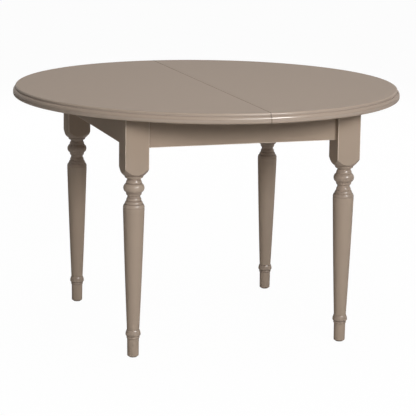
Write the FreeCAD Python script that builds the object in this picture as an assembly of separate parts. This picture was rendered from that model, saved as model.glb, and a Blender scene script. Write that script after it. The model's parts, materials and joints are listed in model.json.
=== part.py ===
import FreeCAD, Part
import math
import os

# An extending round dining table. A nearly square frame on four turned legs carries a round
# top in two halves. Geared wooden slides move the halves apart, and a folded spare leaf is
# stored inside the frame. X runs along the front apron, Y to the back, Z up. The origin is on
# the floor at the middle of the table.

# Driving dimensions, in millimetres

# Whole table
table_height = 760.0
top_radius = 600.0
top_thickness = 30.0
seam_gap = 0.5
seam_ease = 0.8
spread_spare = 5.0
leaf_width = 400.0
apron_air = 1.0

# Rim moulding, from the top face down to the underside
bead_radius = 5.0
bead_drop = 4.0
rim_ledge = 1.5
ovolo_radius = 11.0
ovolo_reach = 5.5
rim_foot_radius = 5.0

# Legs
leg_block = 72.0
leg_block_ease = 1.5
leg_corner_flat = 14.0

# Turned members of a leg, from the floor up: lengths, then radii
foot_length = 54.0
foot_band_length = 6.5
ring_groove_length = 1.5
ring_low_length = 5.5
ring_high_length = 13.0
taper_length = 361.5
collar_length = 14.0
collar_roll_length = 7.0
low_bead_length = 8.5
small_bead_length = 9.5
neck_length = 7.0
mid_bead_length = 11.0
ball_length = 23.7
high_cove_length = 11.3
neck_cove_length = 5.3
high_bead_length = 9.3
shoulder_length = 22.4
foot_low_radius = 17.1
foot_top_radius = 17.7
foot_chamfer = 1.5
foot_band_low_radius = 18.2
foot_band_bulge_depth = 1.1
foot_band_top_radius = 18.8
ring_groove_radius = 18.0
ring_low_radius = 20.0
ring_low_bulge_depth = 0.8
ring_radius = 22.6
ring_high_bulge_depth = 0.7
ring_top_radius = 19.2
taper_low_radius = 18.5
taper_bulge_depth = 0.6
collar_radius = 31.6
collar_bulge_depth = 0.3
collar_top_radius = 31.0
collar_roll_bulge_depth = 0.9
collar_roll_radius = 28.6
low_bead_radius = 27.0
low_bead_bulge_depth = 1.0
low_bead_top_radius = 23.0
small_bead_radius = 22.0
small_bead_bulge_depth = 0.8
neck_radius = 18.4
neck_bulge_depth = 0.3
mid_bead_radius = 19.8
mid_bead_bulge_depth = 0.7
mid_bead_top_radius = 25.8
ball_low_radius = 27.0
ball_bulge_depth = 5.4
ball_top_radius = 24.2
high_cove_radius = 23.2
high_cove_bulge_depth = 0.7
high_neck_radius = 18.6
neck_cove_bulge_depth = 0.7
neck_cove_top_radius = 21.8
high_bead_radius = 23.4
high_bead_bulge_depth = 1.0
high_bead_top_radius = 30.8
shoulder_low_radius = 32.2
shoulder_bulge_depth = 1.2

# Foot glides
glide_radius = 12.0
glide_thickness = 3.0
glide_nail_radius = 1.5
glide_nail_length = 18.0
glide_ease = 0.8

# Aprons
apron_setback = 15.0
apron_thickness = 22.0
apron_ease = 1.5
tenon_length = 12.0
tenon_thickness = 10.0
tenon_shoulder = 12.0

# Corner blocks and their fasteners
block_thickness = 28.0
block_slide_air = 8.0
block_lift = 2.0
hanger_radius = 4.0
hanger_in_leg = 35.0
hanger_tail = 14.0
washer_radius = 9.0
washer_thickness = 1.6
nut_across_flats = 13.0
nut_height = 6.5
block_screw_radius = 2.0
block_screw_head_radius = 4.0
block_screw_head_height = 2.4
block_screw_spacing = 20.0
fastener_fit = 0.05
bolt_clearance = 0.5

# Geared slides
runner_leg_air = 9.5
slide_drop = 4.0
centre_width = 24.0
centre_cap = 9.0
centre_housing = 8.0
runner_width = 26.0
runner_under_air = 1.5
slide_air = 0.5
groove_lift = 6.0
groove_height = 12.0
groove_depth = 6.0
tongue_air = 0.4
runner_tip_air = 8.0

# Gears
gear_module = 2.0
pinion_teeth = 18
pressure_angle = 20.0
tooth_slack = 0.3
dedendum_share = 1.25
pinion_thickness = 9.0
pinion_air = 0.5
slot_air = 1.5
axle_radius = 4.0
axle_fit = 0.05
axle_bite = 5.0
rack_web = 5.0
rack_overrun = 12.0
flank_points = 6

# Runner screws, up into the half tops
runner_screw_radius = 2.25
runner_screw_head_radius = 4.5
runner_screw_head_height = 3.0
runner_screw_bite = 18.0
runner_screw_cap = 14.0
runner_screw_count = 3

# Bumpers on the end aprons
bumper_radius = 7.0
bumper_length = 5.0
bumper_gap = 0.3

# Low-friction pads let into the apron tops
pad_length = 60.0
pad_width = 12.0
pad_thickness = 3.0
pad_offset = 150.0

# Alignment dowels along the seam and along one leaf edge
dowel_radius = 5.0
dowel_out = 14.0
dowel_in = 25.0
dowel_tip_ease = 1.5
dowel_hole_air = 0.4
dowel_inner_share = 0.3
dowel_outer_share = 0.8

# Folded leaf, its bearers and their fittings
bearer_share = 0.25
bearer_width = 40.0
bearer_height = 15.0
bearer_lift = 2.0
bearer_housing = 6.0
felt_thickness = 2.0
felt_length = 50.0
felt_offset = 120.0
leaf_fold_gap = 2.0
leaf_top_air = 17.0
leaf_end_air = 29.0
guide_width = 8.0
guide_height = 34.0
guide_air = 1.0
guide_runner_air = 2.5
hinge_offset = 130.0
hinge_length = 60.0
hinge_plate_width = 30.0
hinge_plate_thickness = 1.6
hinge_knuckle_radius = 3.5
hinge_pin_radius = 1.5
hinge_knuckle_count = 5
hinge_knuckle_air = 0.2
hinge_recess_air = 0.5
hinge_screw_radius = 1.75
hinge_screw_length = 16.0
hinge_screw_spacing = 22.0

# Locks under the top, one near each end of the seam
lock_plate_length = 56.0
lock_plate_width = 40.0
lock_plate_thickness = 2.0
lock_seam_air = 6.0
lock_pivot_inset = 22.0
lock_pivot_radius = 3.0
lock_pivot_head_radius = 6.0
lock_pivot_head_height = 2.0
lock_lever_thickness = 3.0
lock_lever_width = 18.0
lock_lever_air = 0.3
lock_hook_wall = 7.0
lock_pin_radius = 4.0
lock_pin_air = 0.6
lock_keeper_length = 40.0
lock_keeper_width = 40.0
lock_handle_length = 46.0
lock_pin_tail_length = 1.0
lock_screw_radius = 1.75
lock_screw_head_radius = 3.4
lock_screw_head_height = 1.6
lock_screw_length = 14.0
lock_screw_inset = 8.0

# How far a cutting solid runs past what it cuts
overrun = 2.0

# The folded leaf sets the size of the frame: its panels are as long as the top's radius, and
# the slides run along its two sides
underside = table_height - top_thickness
leaf_length = top_radius
leaf_package = top_thickness * 2 + leaf_fold_gap
apron_top = underside - apron_air
apron_bottom = (underside - leaf_top_air - leaf_package - felt_thickness - bearer_height
                - bearer_lift)
apron_height = apron_top - apron_bottom
half_block = leg_block / 2
half_centre = centre_width / 2
runner_face = half_centre + slide_air
runner_back = runner_face + runner_width
runner_leaf_gap = guide_air + guide_width + guide_runner_air
slide_offset = (leaf_width + dowel_out) / 2 + runner_leaf_gap + runner_back
apron_inner_x = leaf_length / 2 + leaf_end_air
apron_outer_x = apron_inner_x + apron_thickness
leg_x = apron_outer_x + apron_setback - half_block
leg_inner_x = leg_x - half_block
leg_inner_y = slide_offset + runner_back + runner_leg_air
leg_y = leg_inner_y + half_block
apron_outer_y = leg_y + half_block - apron_setback
apron_inner_y = apron_outer_y - apron_thickness
travel = leaf_width / 2 + spread_spare
bearer_offset = leaf_length * bearer_share
lock_offset = (apron_outer_y + top_radius) / 2

# Heights of the slides, from the top down, and of the corner blocks below them
centre_top = underside - slide_drop
pinion_high = centre_top - centre_cap - pinion_air
pinion_low = pinion_high - pinion_thickness
groove_top = pinion_low - pinion_air - axle_bite
groove_bottom = groove_top - groove_height
centre_bottom = groove_bottom - groove_lift
block_bottom = apron_bottom + block_lift
block_height = centre_bottom - block_slide_air - block_bottom

V = FreeCAD.Vector
X_AXIS = V(1, 0, 0)
Y_AXIS = V(0, 1, 0)
Z_AXIS = V(0, 0, 1)
ORIGIN = V(0, 0, 0)
SIDES = {"front": -1, "back": 1}
ENDS = {"left": -1, "right": 1}

os.makedirs("parts", exist_ok=True)


def save(shape, name):
    shape.exportStep("parts/" + name + ".step")


def group(solids):
    return Part.makeCompound(solids)


def box(x0, x1, y0, y1, z0, z1):
    low = V(min(x0, x1), min(y0, y1), min(z0, z1))
    return Part.makeBox(abs(x1 - x0), abs(y1 - y0), abs(z1 - z0), low)


def rod(start, direction, length, radius):
    return Part.makeCylinder(radius, length, start, direction)


def turned(shape, degrees, centre=ORIGIN, axis=Z_AXIS):
    copy = shape.copy()
    copy.rotate(centre, axis, degrees)
    return copy


def moved(shape, x, y, z):
    copy = shape.copy()
    copy.translate(V(x, y, z))
    return copy


def prism(points, direction):
    wire = Part.makePolygon(points + [points[0]])
    return Part.Face(wire).extrude(direction)


def eased(shape, test, size):
    edges = [edge for edge in shape.Edges if test(edge)]
    return shape.makeFillet(size, edges)


def runs_along(edge, axis):
    if not isinstance(edge.Curve, Part.Line):
        return False
    return abs(edge.Curve.Direction.dot(axis)) > 1 - 1e-6


def bulged(start, end, bulge):
    # An arc from start to end in the XZ plane, bulging to the right of its direction when
    # the bulge is positive, and a straight line when there is none
    if bulge == 0:
        return Part.LineSegment(start, end).toShape()
    along = end - start
    side = V(along.z, 0, -along.x)
    side.normalize()
    middle = (start + end) * 0.5 + side * bulge
    return Part.Arc(start, middle, end).toShape()


def outline(stations, close_at=None):
    # Stations are (radius, height, bulge of the stretch that leads to it)
    edges = []
    for before, after in zip(stations, stations[1:]):
        start = V(before[0], 0, before[1])
        end = V(after[0], 0, after[1])
        edges.append(bulged(start, end, after[2]))
    first = V(stations[0][0], 0, stations[0][1])
    last = V(stations[-1][0], 0, stations[-1][1])
    if close_at is not None:
        corners = [last, V(close_at, 0, last.z), V(close_at, 0, first.z), first]
        for start, end in zip(corners, corners[1:]):
            if (end - start).Length > 0:
                edges.append(Part.LineSegment(start, end).toShape())
    else:
        edges.append(Part.LineSegment(last, first).toShape())
    return Part.Face(Part.Wire(edges))


# Legs

def leg_stations():
    # Each turned member ends at a radius, with the bulge of its outline: (length, radius, bulge)
    members = [
        (foot_length - foot_chamfer, foot_top_radius, 0),
        (0, foot_band_low_radius, 0),
        (foot_band_length, foot_band_top_radius, foot_band_bulge_depth),
        (0, ring_groove_radius, 0),
        (ring_groove_length, ring_groove_radius, 0),
        (0, ring_low_radius, 0),
        (ring_low_length, ring_radius, ring_low_bulge_depth),
        (ring_high_length, ring_top_radius, ring_high_bulge_depth),
        (0, taper_low_radius, 0),
        (taper_length, collar_radius, taper_bulge_depth),
        (collar_length, collar_top_radius, collar_bulge_depth),
        (collar_roll_length, collar_roll_radius, collar_roll_bulge_depth),
        (0, low_bead_radius, 0),
        (low_bead_length, low_bead_top_radius, low_bead_bulge_depth),
        (0, small_bead_radius, 0),
        (small_bead_length, neck_radius, small_bead_bulge_depth),
        (neck_length, neck_radius, -neck_bulge_depth),
        (0, mid_bead_radius, 0),
        (mid_bead_length, mid_bead_top_radius, mid_bead_bulge_depth),
        (0, ball_low_radius, 0),
        (ball_length, ball_top_radius, ball_bulge_depth),
        (0, high_cove_radius, 0),
        (high_cove_length, high_neck_radius, -high_cove_bulge_depth),
        (neck_cove_length, neck_cove_top_radius, -neck_cove_bulge_depth),
        (0, high_bead_radius, 0),
        (high_bead_length, high_bead_top_radius, high_bead_bulge_depth),
        (0, shoulder_low_radius, 0),
        (shoulder_length, half_block * math.sqrt(2), shoulder_bulge_depth),
    ]
    height = glide_thickness
    stations = [(foot_low_radius - foot_chamfer, height, 0)]
    height += foot_chamfer
    stations.append((foot_low_radius, height, 0))
    for length, radius, bulge in members:
        height += length
        stations.append((radius, height, bulge))
    stations.append((half_block * math.sqrt(2), apron_top, 0))
    return stations


def make_leg():
    # The leg at the front left, with its axis at the origin: the aprons lie to +X and +Y
    turning = outline(leg_stations(), close_at=0).revolve(ORIGIN, Z_AXIS, 360)
    square = box(-half_block, half_block, -half_block, half_block, glide_thickness, apron_top)
    square = eased(square, lambda edge: runs_along(edge, Z_AXIS), leg_block_ease)
    leg = turning.common(square)
    tenon_back = -half_block + apron_setback + (apron_thickness + tenon_thickness) / 2
    tenon_front = tenon_back - tenon_thickness
    low = apron_bottom + tenon_shoulder
    high = apron_top - tenon_shoulder
    inner = half_block - tenon_length
    leg = leg.cut(box(inner, half_block + overrun, tenon_front, tenon_back, low, high))
    leg = leg.cut(box(tenon_front, tenon_back, inner, half_block + overrun, low, high))
    corner = V(half_block, half_block, 0)
    flat = [V(half_block - leg_corner_flat, half_block, apron_bottom),
            V(half_block, half_block - leg_corner_flat, apron_bottom),
            corner + V(overrun, -leg_corner_flat, apron_bottom),
            corner + V(overrun, overrun, apron_bottom),
            corner + V(-leg_corner_flat, overrun, apron_bottom)]
    leg = leg.cut(prism(flat, V(0, 0, apron_height + overrun)))
    leg = leg.cut(hanger_hole(hanger_radius + fastener_fit, hanger_in_leg, overrun))
    nail = rod(V(0, 0, glide_thickness - overrun), Z_AXIS, glide_nail_length + overrun,
               glide_nail_radius + fastener_fit)
    return leg.cut(nail)


# Corner blocks and their fasteners, for the same corner

block_middle = block_bottom + block_height / 2
flat_distance = (half_block - leg_corner_flat / 2) * math.sqrt(2)
inwards = V(1, 1, 0)
inwards.normalize()


def hanger_hole(radius, into_leg, out):
    start = inwards * (flat_distance - into_leg) + V(0, 0, block_middle)
    return rod(start, inwards, into_leg + out, radius)


def make_corner_block():
    near = flat_distance * math.sqrt(2)
    far = (flat_distance + block_thickness) * math.sqrt(2)
    face = apron_setback + apron_thickness - half_block
    z = block_bottom
    shape = prism([V(face, near - face, z), V(near - face, face, z),
                   V(far - face, face, z), V(face, far - face, z)], V(0, 0, block_height))
    hole = hanger_hole(hanger_radius + bolt_clearance, 0, block_thickness + overrun)
    shape = shape.cut(hole)
    for screw in make_block_screws(fastener_fit):
        shape = shape.cut(screw)
    return shape


def make_block_screws(fit):
    # Two screws near each end of the block, through it and halfway into the apron, with
    # their heads sunk below the block's slanting face
    screws = []
    face = apron_setback + apron_thickness - half_block
    near = flat_distance * math.sqrt(2)
    far = (flat_distance + block_thickness) * math.sqrt(2)
    x = (near + far) / 2 - face
    low = face - apron_thickness / 2
    high = far - x - block_screw_head_radius
    for lift in (-block_screw_spacing / 2, block_screw_spacing / 2):
        z = block_middle + lift
        shank = rod(V(x, low, z), Y_AXIS, high - low, block_screw_radius + fit)
        head = Part.makeCone(block_screw_radius + fit, block_screw_head_radius + fit,
                             block_screw_head_height, V(x, high - block_screw_head_height, z),
                             Y_AXIS)
        screw = shank.fuse(head)
        if fit > 0:
            mouth = rod(V(x, high, z), Y_AXIS, block_thickness, block_screw_head_radius + fit)
            screw = screw.fuse(mouth)
        screws.append(screw)
        screws.append(screw.mirror(ORIGIN, V(1, -1, 0)))
    return screws


def make_hanger_bolt():
    washer_and_nut = washer_thickness + nut_height
    return hanger_hole(hanger_radius, hanger_in_leg,
                       block_thickness + washer_and_nut + hanger_tail - nut_height)


def ring_on_bolt(outer, distance, thickness):
    start = inwards * distance + V(0, 0, block_middle)
    hole = rod(start - inwards * overrun, inwards, thickness + overrun * 2,
               hanger_radius + fastener_fit)
    return rod(start, inwards, thickness, outer).cut(hole)


def make_washer():
    return ring_on_bolt(washer_radius, flat_distance + block_thickness, washer_thickness)


def make_nut():
    distance = flat_distance + block_thickness + washer_thickness
    round_nut = ring_on_bolt(nut_across_flats, distance, nut_height)
    start = inwards * (distance - overrun) + V(0, 0, block_middle)
    corner = nut_across_flats / math.sqrt(3)
    points = []
    for step in range(6):
        angle = math.radians(60 * step)
        across = inwards.cross(Z_AXIS) * (corner * math.cos(angle))
        points.append(start + across + Z_AXIS * (corner * math.sin(angle)))
    return round_nut.common(prism(points, inwards * (nut_height + overrun * 2)))


def make_glide():
    disc = rod(ORIGIN, Z_AXIS, glide_thickness, glide_radius)
    disc = eased(disc, lambda edge: edge.CenterOfMass.z < glide_thickness / 2
                 and isinstance(edge.Curve, Part.Circle), glide_ease)
    nail = rod(V(0, 0, glide_thickness), Z_AXIS, glide_nail_length, glide_nail_radius)
    return disc.fuse(nail).removeSplitter()


def at_corners(shape):
    # The four copies of a shape made for the front left corner, by name
    places = {"front_left": (-1, -1, 0), "front_right": (1, -1, 90),
              "back_right": (1, 1, 180), "back_left": (-1, 1, 270)}
    copies = {}
    for name, (side_x, side_y, degrees) in places.items():
        copies[name] = moved(turned(shape, degrees), side_x * leg_x, side_y * leg_y, 0)
    return copies


# Aprons

def make_apron(length, outer_at):
    # An apron along X with its outer face at -Y
    half = length / 2
    outer = -outer_at
    inner = outer + apron_thickness
    board = box(-half, half, outer, inner, apron_bottom, apron_top)
    board = eased(board, lambda edge: runs_along(edge, X_AXIS)
                  and edge.CenterOfMass.z < apron_bottom + overrun, apron_ease)
    tenon_low = (outer + inner - tenon_thickness) / 2
    reach = half + tenon_length
    tenons = box(-reach, reach, tenon_low, tenon_low + tenon_thickness,
                 apron_bottom + tenon_shoulder, apron_top - tenon_shoulder)
    return board.fuse(tenons).removeSplitter()


def make_pads(outer_at):
    pads = []
    middle = -outer_at + apron_thickness / 2
    for side in (-1, 1):
        x = side * pad_offset
        pads.append(box(x - pad_length / 2, x + pad_length / 2, middle - pad_width / 2,
                        middle + pad_width / 2, underside - pad_thickness, underside))
    return pads


def make_long_apron(side):
    apron = make_apron(leg_inner_x * 2, apron_outer_y)
    for pad in make_pads(apron_outer_y):
        apron = apron.cut(pad)
    if side > 0:
        apron = turned(apron, 180)
    for end in ENDS.values():
        apron = apron.cut(make_bearer(end))
    return cut_block_screws(apron)


def make_end_apron(end):
    apron = make_apron(leg_inner_y * 2, apron_outer_x)
    for pad in make_pads(apron_outer_x):
        apron = apron.cut(pad)
    apron = turned(apron, -90 if end < 0 else 90)
    for side in SIDES.values():
        apron = apron.cut(centre_blank(side, apron_top + overrun))
        apron = apron.cut(make_bumper_stem(side, end, fastener_fit))
    return cut_block_screws(apron)


def cut_block_screws(apron):
    for screw in make_block_screws(fastener_fit):
        for copy in at_corners(screw).values():
            apron = apron.cut(copy)
    return apron


# Geared slides. The front one is made, and the back one is the same turned half a turn

pitch_radius = gear_module * pinion_teeth / 2
tooth_pitch = math.pi * gear_module
dedendum = gear_module * dedendum_share
rack_back = pitch_radius + dedendum + rack_web
runner_grip = apron_inner_x - bumper_length - bumper_gap - travel
runner_end = apron_inner_x - runner_tip_air
runner_start = -runner_grip


def centre_blank(side, top):
    reach = apron_inner_x + centre_housing
    y = side * slide_offset
    return box(-reach, reach, y - half_centre, y + half_centre, centre_bottom, top)


def make_centre():
    member = centre_blank(-1, centre_top)
    y = -slide_offset
    for side in (-1, 1):
        outer = y + side * (half_centre + overrun)
        groove = box(-apron_inner_x, apron_inner_x, y + side * (half_centre - groove_depth),
                     outer, groove_bottom, groove_top)
        member = member.cut(groove)
    reach = pitch_radius + gear_module + slot_air
    slot = box(-reach, reach, y - centre_width, y + centre_width,
               pinion_low - pinion_air, pinion_high + pinion_air)
    return member.cut(slot).cut(make_axle(fastener_fit))


def make_axle(fit):
    low = groove_top - fit
    length = centre_top - low + (overrun if fit > 0 else 0)
    return rod(V(0, -slide_offset, low), Z_AXIS, length, axle_radius + fit)


def flank_angle(base, radius, half_angle):
    # Half the angle that a tooth fills at a radius, on an involute from the base circle
    spread = math.acos(base / radius)
    return half_angle - (math.tan(spread) - spread)


def pinion_outline():
    tip = pitch_radius + gear_module
    root = pitch_radius - dedendum
    base = pitch_radius * math.cos(math.radians(pressure_angle))
    tooth = tooth_pitch / 2 - tooth_slack
    slope = math.radians(pressure_angle)
    half_angle = tooth / pitch_radius / 2 + math.tan(slope) - slope
    flank = []
    for step in range(flank_points):
        radius = base + (tip - base) * step / (flank_points - 1)
        flank.append((radius, flank_angle(base, radius, half_angle)))
    flank.insert(0, (root, half_angle))
    points = []
    for number in range(pinion_teeth):
        middle = math.pi / 2 + 2 * math.pi * number / pinion_teeth
        rising = [(radius, middle - angle) for radius, angle in flank]
        falling = [(radius, middle + angle) for radius, angle in reversed(flank)]
        for radius, angle in rising + falling:
            points.append(V(radius * math.cos(angle), radius * math.sin(angle), 0))
    return points


def make_pinion():
    blank = prism(pinion_outline(), V(0, 0, pinion_thickness))
    hole = rod(V(0, 0, -overrun), Z_AXIS, pinion_thickness + overrun * 2, axle_radius + axle_fit)
    return moved(blank.cut(hole), 0, -slide_offset, pinion_low)


def make_rack():
    # A rack for the outer runner of the front slide: its teeth point to +Y
    slope = math.tan(math.radians(pressure_angle))
    half_tooth = (tooth_pitch / 2 - tooth_slack) / 2
    tip_half = half_tooth - gear_module * slope
    root_half = half_tooth + dedendum * slope
    first = -math.ceil(rack_overrun / tooth_pitch)
    last = math.ceil((travel + rack_overrun) / tooth_pitch)
    tip = -pitch_radius + gear_module
    root = -pitch_radius - dedendum
    points = [V((first - 0.5) * tooth_pitch + root_half, -rack_back, 0),
              V((first - 0.5) * tooth_pitch + root_half, root, 0)]
    for number in range(first, last):
        middle = (number + 0.5) * tooth_pitch
        points.append(V(middle - root_half, root, 0))
        points.append(V(middle - tip_half, tip, 0))
        points.append(V(middle + tip_half, tip, 0))
        points.append(V(middle + root_half, root, 0))
    points.append(V((last + 0.5) * tooth_pitch - root_half, root, 0))
    points.append(V((last + 0.5) * tooth_pitch - root_half, -rack_back, 0))
    rack = prism(points, V(0, 0, pinion_thickness))
    return moved(rack, 0, -slide_offset, pinion_low)


def runner_screw_places():
    step = runner_grip / runner_screw_count
    return [-step * (number + 0.5) for number in range(runner_screw_count)]


def make_runner_screws(fit):
    # Screws of the outer runner of the front slide: heads sunk in its underside
    screws = []
    y = -slide_offset - (runner_face + runner_back) / 2
    low = centre_bottom + runner_screw_cap
    for x in runner_screw_places():
        length = underside + runner_screw_bite - low
        shank = rod(V(x, y, low), Z_AXIS, length, runner_screw_radius + fit)
        head = Part.makeCone(runner_screw_head_radius + fit, runner_screw_radius + fit,
                             runner_screw_head_height, V(x, y, low), Z_AXIS)
        screw = shank.fuse(head)
        if fit > 0:
            mouth = rod(V(x, y, centre_bottom - overrun), Z_AXIS, runner_screw_cap + overrun,
                        runner_screw_head_radius + fit)
            screw = screw.fuse(mouth)
        screws.append(screw)
    return screws


def make_runner():
    # The outer runner of the front slide, which carries the left half top
    y = -slide_offset
    front = y - runner_back
    back = y - runner_face
    body = box(runner_start, runner_end, front, back, centre_bottom, underside - runner_under_air)
    grip = box(runner_start, 0, front, back, centre_bottom, underside)
    tongue = box(runner_start, runner_end, back, y - half_centre + groove_depth - tongue_air,
                 groove_bottom + tongue_air, groove_top - tongue_air)
    runner = body.fuse(grip).fuse(tongue).removeSplitter()
    rack = make_rack()
    ends = rack.BoundBox
    bed = box(ends.XMin, ends.XMax, y - rack_back, y, pinion_low, pinion_high)
    runner = runner.cut(bed)
    for screw in make_runner_screws(fastener_fit):
        runner = runner.cut(screw)
    return runner


def inner_copy(shape):
    # The inner runner of the same slide is the outer one turned half a turn about the pinion
    return turned(shape, 180, V(0, -slide_offset, 0))


def half_sets(shape):
    # What the left half carries of a shape: on the outer runner of the front slide, and on
    # the inner runner of the back one. The right half has the same, turned half a turn
    outer = shape
    inner = turned(inner_copy(shape), 180)
    return {"left": {"front": outer, "back": inner},
            "right": {"back": turned(outer, 180), "front": turned(inner, 180)}}


def bumper_y(side, end):
    # The runner that comes to this end apron is the outer one of one slide, the inner of the other
    reach = (runner_face + runner_back) / 2
    outer = side == end
    return side * (slide_offset + (reach if outer else -reach))


bumper_face = apron_inner_x - bumper_length
bumper_z = (centre_bottom + underside) / 2


def make_bumper_stem(side, end, fit):
    start = V(end * apron_inner_x, bumper_y(side, end), bumper_z)
    depth = apron_thickness / 2
    return rod(start - X_AXIS * (end * overrun), X_AXIS * end, depth + overrun,
               bumper_radius / 2 + fit)


def make_bumper(side, end):
    y = bumper_y(side, end)
    face = V(end * bumper_face, y, bumper_z)
    button = rod(face, X_AXIS * end, bumper_length, bumper_radius)
    stem = rod(V(end * apron_inner_x, y, bumper_z), X_AXIS * end, apron_thickness / 2,
               bumper_radius / 2)
    return button.fuse(stem).removeSplitter()


# Half tops

def rim_stations(outer, top, bottom):
    # The moulding in section, from the underside up to the top face: (reach, height, bulge)
    ovolo_centre_x = outer - ovolo_radius
    ovolo_rise = math.sqrt(ovolo_radius ** 2 - (ovolo_radius - ovolo_reach) ** 2)
    ledge = top - bead_radius - bead_drop
    band = ledge - ovolo_rise
    chord = math.hypot(ovolo_reach, ovolo_rise)
    ovolo_bulge = ovolo_radius - math.sqrt(ovolo_radius ** 2 - (chord / 2) ** 2)
    quarter_bulge = 1 - math.sqrt(0.5)
    foot = rim_foot_radius
    bead_x = outer - ovolo_reach - rim_ledge
    return [(outer - foot, bottom, 0),
            (outer, bottom + foot, foot * quarter_bulge),
            (outer, band, 0),
            (ovolo_centre_x + ovolo_radius - ovolo_reach, ledge, ovolo_bulge),
            (bead_x, ledge, 0),
            (bead_x, top - bead_radius, 0),
            (bead_x - bead_radius, top, bead_radius * quarter_bulge)]


def dowel_places():
    inner = top_radius * dowel_inner_share
    outer = top_radius * dowel_outer_share
    return [-outer, -inner, inner, outer]


def make_dowel(y, z):
    # A dowel along X whose seam end points to +X, with its seam face at X = 0
    dowel = rod(V(-dowel_in, y, z), X_AXIS, dowel_in + dowel_out, dowel_radius)
    rims = [edge for edge in dowel.Edges if isinstance(edge.Curve, Part.Circle)]
    return dowel.makeChamfer(dowel_tip_ease, rims)


def make_half_top(end):
    disc = outline(rim_stations(top_radius, table_height, underside), close_at=0)
    disc = disc.revolve(ORIGIN, Z_AXIS, 360)
    reach = top_radius + overrun
    seam = -end * seam_gap / 2
    far = -end * reach
    disc = disc.cut(box(-seam, far, -reach, reach, underside - overrun, table_height + overrun))
    edge = [V(-seam - end * overrun, -reach, table_height + overrun),
            V(-seam + end * (seam_ease + overrun), -reach, table_height + overrun),
            V(-seam - end * overrun, -reach, table_height - seam_ease - overrun)]
    disc = disc.cut(prism(edge, V(0, reach * 2, 0)))
    middle = table_height - top_thickness / 2
    for y in dowel_places():
        if end < 0:
            hole = rod(V(-dowel_in - fastener_fit, y, middle), X_AXIS, dowel_in + overrun,
                       dowel_radius + fastener_fit)
        else:
            hole = rod(V(-overrun, y, middle), X_AXIS, dowel_out + overrun * 2,
                       dowel_radius + dowel_hole_air)
        disc = disc.cut(hole)
    return disc


# The folded leaf. It lies lengthwise along X, its lower panel with the finished face down

leaf_low = apron_bottom + bearer_lift + bearer_height + felt_thickness
leaf_fold = leaf_low + top_thickness + leaf_fold_gap / 2
leaf_shift = -dowel_out / 2
leaf_front = leaf_shift - leaf_width / 2
leaf_back = leaf_shift + leaf_width / 2
leaf_left = -leaf_length / 2


def mirrored_fold(shape):
    return shape.mirror(V(0, 0, leaf_fold), Z_AXIS)


def hinge_places():
    return [leaf_shift - hinge_offset, leaf_shift + hinge_offset]


def make_panel():
    # The upper panel, finished face up, its moulded end to the right
    low = leaf_fold + leaf_fold_gap / 2
    high = low + top_thickness
    face = outline(rim_stations(leaf_left + leaf_length, high, low), close_at=leaf_left)
    panel = moved(face.extrude(V(0, leaf_width, 0)), 0, leaf_front, 0)
    middle = (low + high) / 2
    for place in leaf_dowel_places():
        panel = panel.cut(rod(V(place, leaf_back - dowel_in - fastener_fit, middle), Y_AXIS,
                              dowel_in + overrun, dowel_radius + fastener_fit))
        panel = panel.cut(rod(V(place, leaf_front - overrun, middle), Y_AXIS,
                              dowel_out + overrun * 2, dowel_radius + dowel_hole_air))
    for y in hinge_places():
        half = hinge_length / 2 + hinge_recess_air
        panel = panel.cut(box(leaf_left - overrun, leaf_left + hinge_plate_width, y - half,
                              y + half, low - overrun, low + hinge_plate_thickness))
        panel = panel.cut(rod(V(leaf_left, y - half, leaf_fold), Y_AXIS, half * 2,
                              hinge_knuckle_radius + hinge_recess_air))
        for screw in make_hinge_screws(y, fastener_fit):
            panel = panel.cut(screw)
    return panel


def leaf_dowel_places():
    return [leaf_left + leaf_length * share for share in (dowel_inner_share, dowel_outer_share)]


def make_leaf_dowels():
    middle = leaf_fold + (leaf_fold_gap + top_thickness) / 2
    dowels = []
    for place in leaf_dowel_places():
        dowel = moved(turned(make_dowel(0, middle), 90), place, leaf_back, 0)
        dowels.append(dowel)
        dowels.append(mirrored_fold(dowel))
    return dowels


def make_hinge_plate(y, parity):
    # The upper plate of a hinge, with every other knuckle
    low = leaf_fold + leaf_fold_gap / 2
    start = y - hinge_length / 2
    plate = box(leaf_left, leaf_left + hinge_plate_width, start, start + hinge_length,
                low, low + hinge_plate_thickness)
    step = hinge_length / hinge_knuckle_count
    knuckle_box = []
    for number in range(hinge_knuckle_count):
        knuckle_start = start + step * number
        if number % 2 == parity:
            knuckle = rod(V(leaf_left, knuckle_start + hinge_knuckle_air / 2, leaf_fold), Y_AXIS,
                          step - hinge_knuckle_air, hinge_knuckle_radius)
            plate = plate.fuse(knuckle)
        else:
            knuckle_box.append(rod(V(leaf_left, knuckle_start - hinge_knuckle_air / 2, leaf_fold),
                                   Y_AXIS, step + hinge_knuckle_air,
                                   hinge_knuckle_radius + hinge_knuckle_air))
    for space in knuckle_box:
        plate = plate.cut(space)
    reach = hinge_length + overrun * 2
    plate = plate.cut(rod(V(leaf_left, start - overrun, leaf_fold), Y_AXIS, reach,
                          hinge_pin_radius + fastener_fit))
    for screw in make_hinge_screws(y, fastener_fit):
        plate = plate.cut(screw)
    return plate


def make_hinge_screws(y, fit):
    # Two screws up from the upper plate into the upper panel
    low = leaf_fold + leaf_fold_gap / 2
    screws = []
    x = leaf_left + hinge_plate_width / 2 + hinge_knuckle_radius
    for side in (-1, 1):
        place = V(x, y + side * hinge_screw_spacing / 2, low)
        shank = rod(place, Z_AXIS, hinge_screw_length, hinge_screw_radius + fit)
        head = Part.makeCone(hinge_screw_radius * 2 + fit, hinge_screw_radius + fit,
                             hinge_plate_thickness, place, Z_AXIS)
        screws.append(shank.fuse(head))
    return screws


def make_hinge_pin(y):
    return rod(V(leaf_left, y - hinge_length / 2, leaf_fold), Y_AXIS, hinge_length,
               hinge_pin_radius)


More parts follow.
